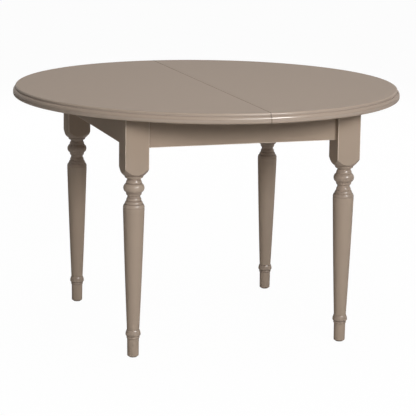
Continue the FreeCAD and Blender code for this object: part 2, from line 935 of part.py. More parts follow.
def make_bearer(end):
    x = end * bearer_offset
    reach = apron_inner_y + bearer_housing
    low = apron_bottom + bearer_lift
    return box(x - bearer_width / 2, x + bearer_width / 2, -reach, reach, low, low + bearer_height)


def make_felts():
    felts = []
    low = leaf_low - felt_thickness
    for end in ENDS.values():
        for side in SIDES.values():
            x = end * bearer_offset
            y = leaf_shift + side * felt_offset
            felts.append(box(x - bearer_width / 3, x + bearer_width / 3, y - felt_length / 2,
                             y + felt_length / 2, low, leaf_low))
    return felts


def make_guides():
    # Blocks on the bearers that keep the folded leaf in its place
    guides = []
    low = leaf_low - felt_thickness
    edges = {-1: leaf_front - guide_air, 1: leaf_back + guide_air}
    for end in ENDS.values():
        for side, y in edges.items():
            x = end * bearer_offset
            guides.append(box(x - bearer_width / 2, x + bearer_width / 2, y,
                              y + side * guide_width, low, low + guide_height))
    return guides


# Locks under the top. The front one is made, and the back one is the same mirrored

lock_plate_low = underside - lock_plate_thickness
lever_top = lock_plate_low - lock_lever_air
lever_bottom = lever_top - lock_lever_thickness
pivot_x = -lock_seam_air - lock_pivot_inset
keeper_pin_x = lock_seam_air + lock_keeper_length / 2
hook_radius = keeper_pin_x - pivot_x


def lock_screw_places(x0, x1, width):
    inset = lock_screw_inset
    places = []
    for x in (x0 + inset, x1 - inset):
        for side in (-1, 1):
            places.append((x, -lock_offset + side * (width / 2 - inset)))
    return places


def plate_screw_places():
    return lock_screw_places(-lock_seam_air - lock_plate_length, -lock_seam_air, lock_plate_width)


def keeper_screw_places():
    return lock_screw_places(lock_seam_air, lock_seam_air + lock_keeper_length,
                             lock_keeper_width)


def make_lock_screws(places, fit):
    # The countersunk heads are flush with the plate's underside
    screws = []
    for x, y in places:
        low = V(x, y, lock_plate_low)
        shank = rod(low, Z_AXIS, lock_screw_length, lock_screw_radius + fit)
        head = Part.makeCone(lock_screw_head_radius + fit, lock_screw_radius + fit,
                             lock_screw_head_height, low, Z_AXIS)
        screws.append(shank.fuse(head))
    return screws


def lock_blank(x0, x1, width, places):
    y = -lock_offset
    plate = box(x0, x1, y - width / 2, y + width / 2, lock_plate_low, underside)
    for screw in make_lock_screws(places, fastener_fit):
        plate = plate.cut(screw)
    return plate


def make_lock_plate():
    plate = lock_blank(-lock_seam_air - lock_plate_length, -lock_seam_air, lock_plate_width,
                       plate_screw_places())
    return plate.cut(rod(V(pivot_x, -lock_offset, lock_plate_low - overrun), Z_AXIS,
                         lock_plate_thickness + overrun * 2, lock_pivot_radius + fastener_fit))


def make_lock_pivot():
    low = lever_bottom - lock_lever_air
    stem = rod(V(pivot_x, -lock_offset, low), Z_AXIS, underside - low, lock_pivot_radius)
    head = rod(V(pivot_x, -lock_offset, low - lock_pivot_head_height), Z_AXIS,
               lock_pivot_head_height, lock_pivot_head_radius)
    return stem.fuse(head).removeSplitter()


def make_lock_keeper():
    keeper = lock_blank(lock_seam_air, lock_seam_air + lock_keeper_length, lock_keeper_width,
                        keeper_screw_places())
    low = lever_bottom - lock_pin_tail_length
    pin = rod(V(keeper_pin_x, -lock_offset, low), Z_AXIS, underside - low, lock_pin_radius)
    return keeper.fuse(pin).removeSplitter()


def make_lock_lever():
    # Made latched, with its hook round the keeper's pin, then turned a quarter turn to its
    # open place, along the seam. It latches as it turns about Z by a negative angle
    half = lock_lever_width / 2
    slot = lock_pin_radius + lock_pin_air
    outer = hook_radius + slot + lock_hook_wall
    low = lever_bottom
    thick = lock_lever_thickness
    eye = rod(V(0, 0, low), Z_AXIS, thick, half)
    bar = box(0, hook_radius - slot, -half, half, low, low + thick)
    ring = rod(V(0, 0, low), Z_AXIS, thick, outer).cut(rod(V(0, 0, low), Z_AXIS, thick,
                                                          hook_radius - slot - lock_hook_wall))
    hook = ring.common(box(0, outer, -half - slot, half, low, low + thick))
    path = rod(V(0, 0, low - overrun), Z_AXIS, thick + overrun * 2, hook_radius + slot)
    path = path.cut(rod(V(0, 0, low - overrun), Z_AXIS, thick + overrun * 2, hook_radius - slot))
    path = path.common(box(0, outer, -outer, 0, low - overrun, low + thick + overrun))
    mouth = rod(V(hook_radius, 0, low - overrun), Z_AXIS, thick + overrun * 2, slot)
    handle = box(-lock_handle_length, 0, -half / 2, half / 2, low, low + thick)
    knob = rod(V(-lock_handle_length, 0, low), Z_AXIS, thick, half * 3 / 4)
    lever = eye.fuse(bar).fuse(hook).fuse(handle).fuse(knob).removeSplitter()
    lever = lever.cut(path).cut(mouth)
    lever = lever.cut(rod(V(0, 0, low - overrun), Z_AXIS, thick + overrun * 2,
                          lock_pivot_radius + axle_fit))
    return lever


def placed_lever():
    lever = turned(make_lock_lever(), 90)
    return moved(lever, pivot_x, -lock_offset, 0)


def at_back(shape):
    # The same at the back end of the seam
    return shape.mirror(ORIGIN, Y_AXIS)


# The whole table

def save_base():
    for name, leg in at_corners(make_leg()).items():
        save(leg, "leg_" + name)
    for name, block in at_corners(make_corner_block()).items():
        save(block, "corner_block_" + name)
    fasteners = {"hanger_bolts": make_hanger_bolt(), "bolt_washers": make_washer(),
                 "bolt_nuts": make_nut(), "foot_glides": make_glide()}
    for name, piece in fasteners.items():
        save(group(list(at_corners(piece).values())), name)
    screws = []
    for screw in make_block_screws(0):
        screws.extend(at_corners(screw).values())
    save(group(screws), "corner_block_screws")
    pads = []
    for name, side in SIDES.items():
        save(make_long_apron(side), "apron_" + name)
        pads.extend(turned(pad, 90 + 90 * side) for pad in make_pads(apron_outer_y))
    for name, end in ENDS.items():
        save(make_end_apron(end), "apron_" + name)
        pads.extend(turned(pad, 90 * end) for pad in make_pads(apron_outer_x))
    save(group(pads), "apron_glide_pads")


def save_slides():
    turns = {"front": 0, "back": 180}
    for name, degrees in turns.items():
        save(turned(make_centre(), degrees), "slide_centre_" + name)
        save(turned(make_axle(0), degrees), "pinion_axle_" + name)
        save(turned(make_pinion(), degrees), "pinion_" + name)
    for half, pair in half_sets(make_runner()).items():
        for name, runner in pair.items():
            save(runner, "runner_" + half + "_" + name)
    for half, pair in half_sets(make_rack()).items():
        for name, rack in pair.items():
            save(rack, "rack_" + half + "_" + name)
    bumpers = []
    for end in ENDS.values():
        for side in SIDES.values():
            bumpers.append(make_bumper(side, end))
    save(group(bumpers), "slide_bumpers")


def save_tops():
    runner_screws = {half: [] for half in ENDS}
    runner_holes = {half: [] for half in ENDS}
    for screw in make_runner_screws(0):
        for half, pair in half_sets(screw).items():
            runner_screws[half].extend(pair.values())
    for screw in make_runner_screws(fastener_fit):
        for half, pair in half_sets(screw).items():
            runner_holes[half].extend(pair.values())
    lock_places = {"left": plate_screw_places(), "right": keeper_screw_places()}
    for half, end in ENDS.items():
        top = make_half_top(end)
        lock_holes = make_lock_screws(lock_places[half], fastener_fit)
        lock_holes.extend([at_back(hole) for hole in lock_holes])
        for hole in runner_holes[half] + lock_holes:
            top = top.cut(hole)
        lock_screws = make_lock_screws(lock_places[half], 0)
        lock_screws.extend([at_back(screw) for screw in lock_screws])
        save(top, "top_" + half)
        save(group(runner_screws[half]), "runner_screws_" + half)
        save(group(lock_screws), "lock_screws_" + half)
    middle = table_height - top_thickness / 2
    save(group([make_dowel(y, middle) for y in dowel_places()]), "seam_dowels")


def save_locks():
    plate = make_lock_plate()
    pivot = make_lock_pivot()
    keeper = make_lock_keeper()
    lever = placed_lever()
    save(group([plate, at_back(plate)]), "lock_plates")
    save(group([pivot, at_back(pivot)]), "lock_pivots")
    save(group([keeper, at_back(keeper)]), "lock_keepers")
    save(lever, "lock_lever_front")
    save(at_back(lever), "lock_lever_back")


def save_leaf():
    panel = make_panel()
    save(panel, "leaf_panel_upper")
    save(mirrored_fold(panel), "leaf_panel_lower")
    save(group(make_leaf_dowels()), "leaf_dowels")
    upper = [make_hinge_plate(y, 0) for y in hinge_places()]
    lower = [mirrored_fold(make_hinge_plate(y, 1)) for y in hinge_places()]
    save(group(upper), "leaf_hinge_plates_upper")
    save(group(lower), "leaf_hinge_plates_lower")
    save(group([make_hinge_pin(y) for y in hinge_places()]), "leaf_hinge_pins")
    screws = []
    for y in hinge_places():
        for screw in make_hinge_screws(y, 0):
            screws.append(screw)
            screws.append(mirrored_fold(screw))
    save(group(screws), "leaf_hinge_screws")
    for name, end in ENDS.items():
        save(make_bearer(end), "leaf_bearer_" + name)
    save(group(make_felts()), "leaf_felt_pads")
    save(group(make_guides()), "leaf_guide_blocks")


save_base()
save_slides()
save_tops()
save_locks()
save_leaf()
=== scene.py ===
import json
import math

import bmesh
import bpy
from mathutils import Matrix, Quaternion, Vector


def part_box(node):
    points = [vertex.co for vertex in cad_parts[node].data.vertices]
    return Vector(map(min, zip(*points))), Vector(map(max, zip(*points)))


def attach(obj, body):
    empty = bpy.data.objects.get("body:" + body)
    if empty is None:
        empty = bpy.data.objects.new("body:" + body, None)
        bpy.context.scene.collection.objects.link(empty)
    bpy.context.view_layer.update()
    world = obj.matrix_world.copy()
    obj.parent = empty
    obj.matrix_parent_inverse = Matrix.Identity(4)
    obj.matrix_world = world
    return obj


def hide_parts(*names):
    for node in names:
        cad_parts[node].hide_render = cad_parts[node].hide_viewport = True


# The finished look of an extending round table: taupe satin paint on turned legs, rails and
# two half tops, with bare beech slides, plated fittings and a folded spare leaf underneath.
# X runs along the front rail, Y to the back, Z up, in metres.

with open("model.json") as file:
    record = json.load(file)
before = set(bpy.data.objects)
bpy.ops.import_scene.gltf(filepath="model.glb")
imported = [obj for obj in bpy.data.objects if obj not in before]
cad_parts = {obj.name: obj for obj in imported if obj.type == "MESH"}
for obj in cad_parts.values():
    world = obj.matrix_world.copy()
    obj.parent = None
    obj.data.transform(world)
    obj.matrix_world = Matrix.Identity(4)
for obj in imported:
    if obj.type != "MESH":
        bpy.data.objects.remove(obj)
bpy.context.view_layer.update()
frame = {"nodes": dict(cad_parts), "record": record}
CAD = frame["nodes"]
BODY_OF = {node: body for body, nodes in frame["record"]["behaviour"]["bodies"].items()
           for node in nodes}

MM = 0.001
UP = Vector((0, 0, 1))


def added(name, data):
    """A new object in the scene that holds this data."""
    made = bpy.data.objects.new(name, data)
    bpy.context.scene.collection.objects.link(made)
    return made


def meshed(name, bm):
    """A new mesh with what the modelling mesh holds. It uses that up."""
    mesh = bpy.data.meshes.new(name)
    bm.to_mesh(mesh)
    bm.free()
    return mesh


# Camera, from where the photograph was taken

PHOTO_WIDTH = 416
FOCAL_PIXELS = 1878.3
SENSOR = 36.0
CAMERA_PLACE = Vector((-1.8008, -5.5236, 1.5797))
CAMERA_YAW = 18.156
CAMERA_PITCH = 11.806
CAMERA_ROLL = 0.798
CAMERA_REACH = 100


def add_camera():
    yaw, pitch = math.radians(CAMERA_YAW), math.radians(CAMERA_PITCH)
    forward = Vector((math.sin(yaw) * math.cos(pitch), math.cos(yaw) * math.cos(pitch),
                      -math.sin(pitch)))
    camera = added("camera", bpy.data.cameras.new("camera"))
    camera.data.sensor_width = SENSOR
    camera.data.lens = FOCAL_PIXELS / PHOTO_WIDTH * SENSOR
    camera.data.clip_end = CAMERA_REACH
    turn = forward.to_track_quat("-Z", "Y") @ Quaternion(UP, math.radians(CAMERA_ROLL))
    camera.rotation_mode = "QUATERNION"
    camera.rotation_quaternion = turn
    camera.location = CAMERA_PLACE
    bpy.context.scene.camera = camera


# Finishes: a small language for surfaces that vary from place to place

def linear(red, green, blue):
    """A colour given as the eye sees it, from 0 to 255, as the light that it reflects."""
    return (*[((c / 255 + 0.055) / 1.055) ** 2.4 for c in (red, green, blue)], 1)


EDGE_RUBS = (0.2, 0.9)


class Tone:
    """A value that varies over a surface. Arithmetic on it adds nodes to its finish."""

    def __init__(self, finish, socket):
        self.finish = finish
        self.socket = socket

    def __add__(self, other):
        return self.finish.math("ADD", self, other)

    def __sub__(self, other):
        return self.finish.math("SUBTRACT", self, other)

    def __rsub__(self, other):
        return self.finish.math("SUBTRACT", other, self)

    def __mul__(self, other):
        return self.finish.math("MULTIPLY", self, other)

    def __neg__(self):
        return self.finish.math("MULTIPLY", self, -1)

    __radd__ = __add__
    __rmul__ = __mul__

    def above(self, low, high):
        """0 up to the low value, 1 from the high one, and even in between."""
        limits = {"Value": self, "From Min": low, "From Max": high}
        return self.finish.node("MapRange", limits, clamp=True)


class Finish:
    """A material on the standard surface shader, with its pattern fixed to the table."""

    def __init__(self, name, **constants):
        self.material = bpy.data.materials.new(name)
        self.material.use_nodes = True
        self.tree = self.material.node_tree
        self.shader = self.tree.nodes["Principled BSDF"]
        self.place = self.node("TexCoord", out="Object")
        for word, value in constants.items():
            self.shader.inputs[word.replace("_", " ")].default_value = value

    def node(self, kind, wires=None, out=0, **settings):
        made = self.tree.nodes.new("ShaderNode" + kind)
        for word, value in settings.items():
            setattr(made, word, value)
        for key, value in (wires or {}).items():
            self.feed(made.inputs[key], value)
        return Tone(self, made.outputs[out])

    def feed(self, socket, value):
        if isinstance(value, Tone):
            self.tree.links.new(value.socket, socket)
        elif socket.type == "VECTOR":
            socket.default_value = value[:3]
        else:
            socket.default_value = value

    def math(self, operation, first, second):
        return self.node("Math", {0: first, 1: second}, operation=operation)

    def measured(self, size, stretch=(1, 1, 1)):
        """The place on the table in steps of this size, drawn out along each axis."""
        scale = [1 / (size * share) for share in stretch]
        return self.node("Mapping", {"Vector": self.place, "Scale": scale})

    def noise(self, size, stretch=(1, 1, 1), detail=2.0):
        """Soft noise with features of about this size."""
        place = self.measured(size, stretch)
        return self.node("TexNoise", {"Vector": place, "Scale": 1.0, "Detail": detail})

    def cells(self, size):
        """Distance from the middle of small cells of about this size."""
        return self.node("TexVoronoi", {"Vector": self.measured(size), "Scale": 1.0})

    def edge(self):
        """1 on a sharp outer edge, -1 in a crease, 0 on plain faces, and more on an arris."""
        return self.node("Attribute", out="Fac", attribute_name="edge")

    def worn(self):
        """1 on the outer edges of a bare, plated or moulded piece, where it rubs."""
        return self.edge().above(*EDGE_RUBS)

    def moulding(self):
        """1 on the small faces of a new piece's mouldings, 0 on its broad faces."""
        return self.node("Attribute", out="Fac", attribute_name="moulding")

    def mixed(self, share, first, second):
        wires = {0: share, 6: first, 7: second}
        return self.node("Mix", wires, out=2, data_type="RGBA", clamp_factor=True)

    def scaled(self, colour, share):
        return self.node("VectorMath", {0: colour, "Scale": share}, operation="SCALE")

    def done(self, colour, roughness, height=None, coat=None):
        """Wires the surface up. The height is in metres."""
        self.feed(self.shader.inputs["Base Color"], colour)
        self.feed(self.shader.inputs["Roughness"], roughness)
        if coat is not None:
            self.feed(self.shader.inputs["Coat Weight"], coat)
        if height is not None:
            bump = self.node("Bump", {"Height": height, "Distance": 1.0, "Strength": 1.0})
            self.feed(self.shader.inputs["Normal"], bump)
        return self.material


AXES = "xyz"


def drawn_out(grain, times):
    """The stretch of a pattern that runs along one axis."""
    return [times if axis == grain else 1 for axis in AXES]


# Paint in the colour of the photograph, matt on broad faces, with wax rubbed into mouldings.
# The edges, the arrises and the creases are the same paint: the edges and arrises lighter,
# partly worn thin and partly a painted highlight, the creases darker as painted shade. The
# mouldings' paint is darker, painted shade against the light they catch. The top, which sees the
# most light, is a little cooler, a painted sheen
PAINT = linear(159, 142, 126)
PAINT_ON_TOP_WITH_PAINTED_SHEEN = linear(160, 145, 132)
PAINT_SHADED_ON_MOULDINGS = linear(149, 132, 117)
PAINT_ON_EDGES_WORN_AND_HIGHLIT = linear(190, 172, 154)
PAINT_ON_ARRISES_WORN_AND_HIGHLIT = linear(226, 208, 190)
PAINTED_SHADE_IN_CREASES = linear(104, 88, 74)
MATT = 0.8
RUBBED = 0.7
WAX = 0.075
WAX_ON_TOP = 0.13
WAX_HARDNESS = 2.2
WAX_ROUGHNESS = 0.21
EDGE_SHOWS = (0.15, 0.9)
EDGE_SHARE = 0.75
ARRIS_SHOWS = (1.2, 1.9)
ARRIS_SHARE = 0.8
CREASE_SHOWS = (0.1, 0.8)
CREASE_SHARE = 0.8


def paint(grain, ground=PAINT, member="frame", wax=WAX):
    finish = Finish("taupe_paint_on_" + member + "_along_" + grain, Specular_IOR_Level=0.3,
                    Coat_Roughness=WAX_ROUGHNESS, Coat_IOR=WAX_HARDNESS)
    cloud = finish.noise(0.22, detail=3)
    mottle = finish.noise(0.018, detail=3)
    peel = finish.noise(1.7 * MM)
    fibre = finish.noise(1.3 * MM, drawn_out(grain, 34), detail=3)
    pores = finish.noise(0.8 * MM, drawn_out(grain, 9)).above(0.66, 0.74)
    edge = finish.edge()
    shade = 0.975 + cloud * 0.03 + mottle * 0.012 + fibre * 0.012 - pores * 0.02
    # Mouldings take a darker copy of the paint: painted shade against the light they catch
    colour = finish.mixed(finish.moulding(), ground, PAINT_SHADED_ON_MOULDINGS)
    colour = finish.scaled(colour, shade)
    # Edges and arrises turn lighter: partly paint worn thin, partly a painted highlight
    colour = finish.mixed(edge.above(*EDGE_SHOWS) * EDGE_SHARE, colour, PAINT_ON_EDGES_WORN_AND_HIGHLIT)
    colour = finish.mixed(edge.above(*ARRIS_SHOWS) * ARRIS_SHARE, colour, PAINT_ON_ARRISES_WORN_AND_HIGHLIT)
    # Creases turn darker: painted shade
    colour = finish.mixed((-edge).above(*CREASE_SHOWS) * CREASE_SHARE, colour, PAINTED_SHADE_IN_CREASES)
    rubbed = finish.moulding() * (RUBBED - MATT) + MATT
    roughness = rubbed + cloud * 0.08 + mottle * 0.05 + pores * 0.06
    gloss = finish.moulding() * (mottle * 0.03 + wax)
    height = peel * (0.012 * MM) + fibre * (0.02 * MM) - pores * (0.02 * MM)
    return finish.done(colour, roughness, height, gloss)


BEECH_PALE = linear(214, 181, 141)
BEECH_DEEP = linear(184, 146, 107)
BEECH_FLECK = linear(138, 98, 66)
BEECH_EDGE = linear(226, 198, 160)


def beech(grain):
    finish = Finish("bare_beech_along_" + grain, Specular_IOR_Level=0.3)
    bands = finish.noise(9 * MM, drawn_out(grain, 22), detail=3)
    lines = finish.noise(1.1 * MM, drawn_out(grain, 60), detail=3)
    flecks = finish.noise(0.9 * MM, drawn_out(grain, 5)).above(0.62, 0.7)
    patch = finish.noise(0.09, detail=2)
    colour = finish.mixed(bands.above(0.3, 0.7), BEECH_PALE, BEECH_DEEP)
    colour = finish.mixed(lines.above(0.45, 0.75) * 0.35, colour, BEECH_DEEP)
    colour = finish.mixed(flecks * 0.55, colour, BEECH_FLECK)
    colour = finish.mixed(finish.worn() * 0.5, colour, BEECH_EDGE)
    colour = finish.scaled(colour, 0.94 + patch * 0.12)
    roughness = 0.58 + lines * 0.14 + flecks * 0.08
    height = lines * (0.03 * MM) - flecks * (0.03 * MM)
    return finish.done(colour, roughness, height)


def plated(name, colour, stain, roughness, grain="z"):
    """Plated metal: a faint crystal pattern, stains, and fine lines from rolling."""
    finish = Finish(name, Metallic=1.0)
    spangle = finish.cells(2.4 * MM)
    cloud = finish.noise(14 * MM, detail=3)
    lines = finish.noise(0.35 * MM, drawn_out(grain, 40))
    tint = finish.mixed(cloud.above(0.45, 0.75) * 0.45, colour, stain)
    worn = finish.worn()
    tint = finish.scaled(tint, 0.93 + spangle * 0.1 + worn * 0.12)
    rough = roughness + cloud * 0.16 + lines * 0.1 - worn * 0.1
    return finish.done(tint, rough, lines * (0.004 * MM) + spangle * (0.004 * MM))


def nylon():
    finish = Finish("natural_nylon", Specular_IOR_Level=0.45)
    cloud = finish.noise(6 * MM, detail=3)
    skin = finish.noise(0.4 * MM)
    colour = finish.mixed(cloud.above(0.3, 0.7), linear(232, 229, 216), linear(217, 212, 196))
    return finish.done(colour, 0.36 + cloud * 0.14, skin * (0.01 * MM))


def moulded(name, colour, scuffed, roughness):
    """Moulded plastic or rubber, with a fine skin and scuffs where it rubs."""
    finish = Finish(name, Specular_IOR_Level=0.4)
    skin = finish.noise(0.5 * MM, detail=3)
    scuffs = finish.noise(2.5 * MM, drawn_out("y", 6), detail=4).above(0.55, 0.72)
    tint = finish.mixed(scuffs * 0.6 + finish.worn() * 0.2, colour, scuffed)
    return finish.done(tint, roughness + scuffs * 0.15, skin * (0.02 * MM))


def felt():
    finish = Finish("pressed_grey_felt", Specular_IOR_Level=0.1, Sheen_Weight=0.5,
                    Sheen_Roughness=0.6)
    fibres = finish.noise(0.35 * MM, drawn_out("y", 7), detail=4)
    crossed = finish.noise(0.35 * MM, drawn_out("x", 7), detail=4)
    clumps = finish.noise(3 * MM, detail=3)
    mix = fibres * 0.4 + crossed * 0.4 + clumps * 0.3
    colour = finish.mixed(mix.above(0.35, 0.7), linear(84, 82, 80), linear(134, 131, 127))
    return finish.done(colour, 0.95 - mix * 0.05, mix * (0.25 * MM))


# Modelling helpers. Turnings are made in millimetres and scaled down when they are whole

WELD = 0.002 * MM
TURNING_WELD = 1e-6
PARING_SLACK = 5e-7
SCORE_SLACK = 0.001
MEMBER_STEPS = 10
PAINT_BUILD = 0.45
LARGEST_SHARE = 0.45
PLAIN_TURN = 12.0
SHORTEST = 1e-6


def whole(bm):
    return bm.verts[:] + bm.edges[:] + bm.faces[:]


def add_box(bm, size, centre):
    made = bmesh.ops.create_cube(bm, size=1)["verts"]
    bmesh.ops.scale(bm, vec=size, verts=made)
    bmesh.ops.translate(bm, vec=centre, verts=made)
    return made


def rounded(bm, edges, ease, segments):
    bmesh.ops.bevel(bm, geom=edges, offset=ease, segments=segments, profile=0.5,
                    affect="EDGES", material=-1, clamp_overlap=True)


def outward(bm):
    bmesh.ops.recalc_face_normals(bm, faces=bm.faces)


def solids_of(node):
    """The lowest and highest corner of each separate solid of a fixed node."""
    bm = bmesh.new()
    bm.from_mesh(CAD[node].data)
    bmesh.ops.remove_doubles(bm, verts=bm.verts, dist=WELD)
    boxes = []
    left = set(bm.verts)
    while left:
        todo = [left.pop()]
        places = []
        while todo:
            vert = todo.pop()
            places.append(vert.co.copy())
            for edge in vert.link_edges:
                other = edge.other_vert(vert)
                if other in left:
                    left.remove(other)
                    todo.append(other)
        low = Vector([min(p[axis] for p in places) for axis in range(3)])
        high = Vector([max(p[axis] for p in places) for axis in range(3)])
        boxes.append((low, high))
    bm.free()
    return sorted(boxes, key=lambda pair: tuple(round(c, 5) for c in pair[0]))


def arc(start, end, bulge):
    """Points after start, up to end, on an arc that stands off its chord by the bulge."""
    if not bulge:
        return [end]
    along = end - start
    side = Vector((along.y, -along.x)).normalized()
    half = along.length / 2
    radius = (half * half + bulge * bulge) / (2 * bulge)
    centre = (start + end) / 2 - side * (radius - bulge)
    sweep = 4 * math.atan(bulge / half)
    spoke = start - centre
    return [centre + Matrix.Rotation(sweep * n / MEMBER_STEPS, 2) @ spoke
            for n in range(1, MEMBER_STEPS + 1)]


def softened(points):
    """The same outline with its corners taken off, as thick paint does."""
    result = [points[0]]
    for before, here, after in zip(points, points[1:], points[2:]):
        back, ahead = before - here, after - here
        if min(back.length, ahead.length) < SHORTEST:
            continue
        if 180 - math.degrees(back.angle(ahead)) < PLAIN_TURN:
            result.append(here)
            continue
        first, last = [here + side * min(LARGEST_SHARE, PAINT_BUILD / side.length)
                       for side in (back, ahead)]
        result += [first, (first + last) / 4 + here / 2, last]
    return result + [points[-1]]


def lathe(bm, outline, steps):
    """Turns an outline of (radius, height) into a closed solid about the Z axis."""
    verts = [bm.verts.new((point.x, 0, point.y)) for point in outline]
    edges = [bm.edges.new(pair) for pair in zip(verts, verts[1:])]
    bmesh.ops.spin(bm, geom=verts + edges, cent=(0, 0, 0), axis=UP, dvec=(0, 0, 0),
                   angle=2 * math.pi, steps=steps, use_merge=True)
    bmesh.ops.remove_doubles(bm, verts=bm.verts, dist=TURNING_WELD)
    outward(bm)


def pared(bm, place, direction):
    """Planes the solid off beyond a flat at this place, and closes the cut."""
    cut = bmesh.ops.bisect_plane(bm, geom=whole(bm), dist=PARING_SLACK, plane_co=place,
                                 plane_no=direction, clear_outer=True)
    rim = [part for part in cut["geom_cut"] if isinstance(part, bmesh.types.BMEdge)]
    bmesh.ops.holes_fill(bm, edges=[edge for edge in rim if edge.is_valid and edge.is_boundary])


def scored(bm, place, direction, slack):
    """Cuts the faces along a plane and leaves both sides of it in place."""
    bmesh.ops.bisect_plane(bm, geom=whole(bm), plane_co=place, plane_no=direction, dist=slack)


BROAD_AREA = 40 * MM * MM
CREASE_REACH = 2.2 * MM
CREASE_STEPS = 2
ARRIS_LENGTH = 30 * MM
ARRIS_WIDTH = 0.8 * MM
ARRIS_WEAR_AND_HIGHLIGHT = 2.0


def mark_edges(bm):
    """Tells mouldings from broad faces, and writes how sharp each of their corners is.

    A crease, which the paint darkens as painted shade, reaches a little way up what stands
    beside it.
    """
    sharp = {}
    for vert in bm.verts:
        turns = [edge.calc_face_angle_signed(0) for edge in vert.link_edges]
        sharp[vert] = max(-1, min(1, sum(turns)))
    for _ in range(CREASE_STEPS):
        spread = dict(sharp)
        for vert, value in sharp.items():
            if value >= 0:
                continue
            for edge in vert.link_edges:
                faded = value * (1 - edge.calc_length() / CREASE_REACH)
                other = edge.other_vert(vert)
                if faded < 0:
                    spread[other] = min(spread[other], faded)
        sharp = spread
    edge_layer = bm.loops.layers.float.new("edge")
    moulding_layer = bm.loops.layers.float.new("moulding")
    for face in bm.faces:
        area = face.calc_area()
        longest = max(edge.calc_length() for edge in face.edges)
        arris = longest > ARRIS_LENGTH and area < longest * ARRIS_WIDTH
        if area > BROAD_AREA and not arris:
            continue
        for loop in face.loops:
            # Arrises get a higher mark, which the paint turns into a worn, painted highlight
            # line
            loop[edge_layer] = ARRIS_WEAR_AND_HIGHLIGHT if arris else sharp[loop.vert]
            loop[moulding_layer] = 1


def mark_anew(bm, layer, level_at):
    """Writes an edge or moulding mark again wherever level_at(face, vert) gives a number."""
    marks = bm.loops.layers.float[layer]
    for face in bm.faces:
        for loop in face.loops:
            level = level_at(face, loop.vert)
            if level is not None:
                loop[marks] = level


SLIVER = 0.002 * MM
SHARP_FROM = 34


def piece(name, bm, body, finish, stands_for, marked=False):
    """Finishes a mesh as a named piece that rides on a body, in place of a fixed node.

    A mesh that isn't marked yet is cleared of slivers and marked first.
    """
    if not marked:
        bmesh.ops.dissolve_degenerate(bm, dist=SLIVER, edges=bm.edges)
        mark_edges(bm)
    mesh = meshed(name, bm)
    mesh.materials.append(finish)
    mesh.shade_smooth()
    mesh.set_sharp_from_angle(angle=math.radians(SHARP_FROM))
    made = added(name, mesh)
    made.modifiers.new("flat_faces", "WEIGHTED_NORMAL").keep_sharp = True
    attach(made, body)
    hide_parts(stands_for)


def carved(bm, tool):
    """The mesh with the tool's solids cut out of it. Both are used up."""
    blank, cutter = [added("carving", meshed("carving", source)) for source in (bm, tool)]
    boolean = blank.modifiers.new("cut", "BOOLEAN")
    boolean.operation = "DIFFERENCE"
    boolean.solver = "EXACT"
    boolean.object = cutter
    result = bmesh.new()
    result.from_object(blank, bpy.context.evaluated_depsgraph_get())
    for made in (blank, cutter):
        mesh = made.data
        bpy.data.objects.remove(made)
        bpy.data.meshes.remove(mesh)
    return result


def pointing(start, direction):
    """The place of a piece that begins at start and runs along the direction."""
    turn = Vector(direction).to_track_quat("Z", "Y").to_matrix().to_4x4()
    return Matrix.Translation(start) @ turn


# Legs. Members from the foot up: length, radius at the upper end, bulge of the outline

LEG_BLOCK = 72.0
BLOCK_EASE = 1.8
BLOCK_FLATS = 16
INNER_FLAT = 14.0
FOOT_START = (15.6, 17.1, 1.5)
LEG_MEMBERS = {
    "foot": (52.5, 17.7, 0),
    "foot_band_step": (0, 18.2, 0),
    "foot_band": (6.5, 18.8, 1.1),
    "ring_groove_step": (0, 18.0, 0),
    "ring_groove": (1.5, 18.0, 0),
    "ring_step": (0, 20.0, 0),
    "ring_low": (5.5, 22.6, 0.8),
    "ring_high": (13, 19.2, 0.7),
    "taper_step": (0, 18.5, 0),
    "taper": (361.5, 31.6, 0.6),
    "collar": (7, 31.4, 0.2),
    "collar_roll": (12, 28.4, 1.5),
    "low_bead_step": (0, 27.0, 0),
    "low_bead": (9.5, 23.0, 1.1),
    "small_bead_step": (0, 22.0, 0),
    "small_bead": (10.5, 19.2, 1.4),
    "neck": (7, 19.2, -0.2),
    "middle_bead_step": (0, 20.4, 0),
    "middle_bead": (5, 22.6, 1.1),
    "middle_cove": (6, 25.8, -0.3),
    "ball_step": (0, 27.0, 0),
    "ball": (23.7, 24.2, 5.4),
    "high_cove_step": (0, 23.8, 0),
    "high_cove": (11.3, 20.0, 1.0),
    "neck_cove": (5.3, 21.8, -0.5),
    "high_bead_step": (0, 24.6, 0),
    "high_bead": (7.2, 26.8, 1.7),
    "shoulder_step": (0, 29.8, 0),
    "shoulder": (24.5, LEG_BLOCK / math.sqrt(2), 1.2),
}
TURNING_STEPS = 96
CORNER_TURNS = {"front_left": 0, "front_right": 90, "back_right": 180, "back_left": 270}


def leg_outline(foot, top):
    """The turning from the floor end up, in millimetres. Above the shoulder it is oversize."""
    low, radius, chamfer = FOOT_START
    points = [Vector((0, foot)), Vector((low, foot)), Vector((radius, foot + chamfer))]
    height = foot + chamfer
    for length, radius, bulge in LEG_MEMBERS.values():
        height += length
        points += arc(points[-1], Vector((radius, height)), bulge)
    points = softened(points)
    oversize = LEG_BLOCK
    return points + [Vector((oversize, height + oversize - radius)), Vector((oversize, top)),
                     Vector((0, top))]


def square_block(bm):
    """Planes the four sides of the block, and the flats that round its four edges."""
    inner = LEG_BLOCK / 2 - BLOCK_EASE
    for number in range(BLOCK_FLATS):
        angle = 2 * math.pi * number / BLOCK_FLATS
        direction = Vector((math.cos(angle), math.sin(angle), 0))
        reach = inner * (abs(direction.x) + abs(direction.y)) + BLOCK_EASE
        pared(bm, direction * reach, direction)


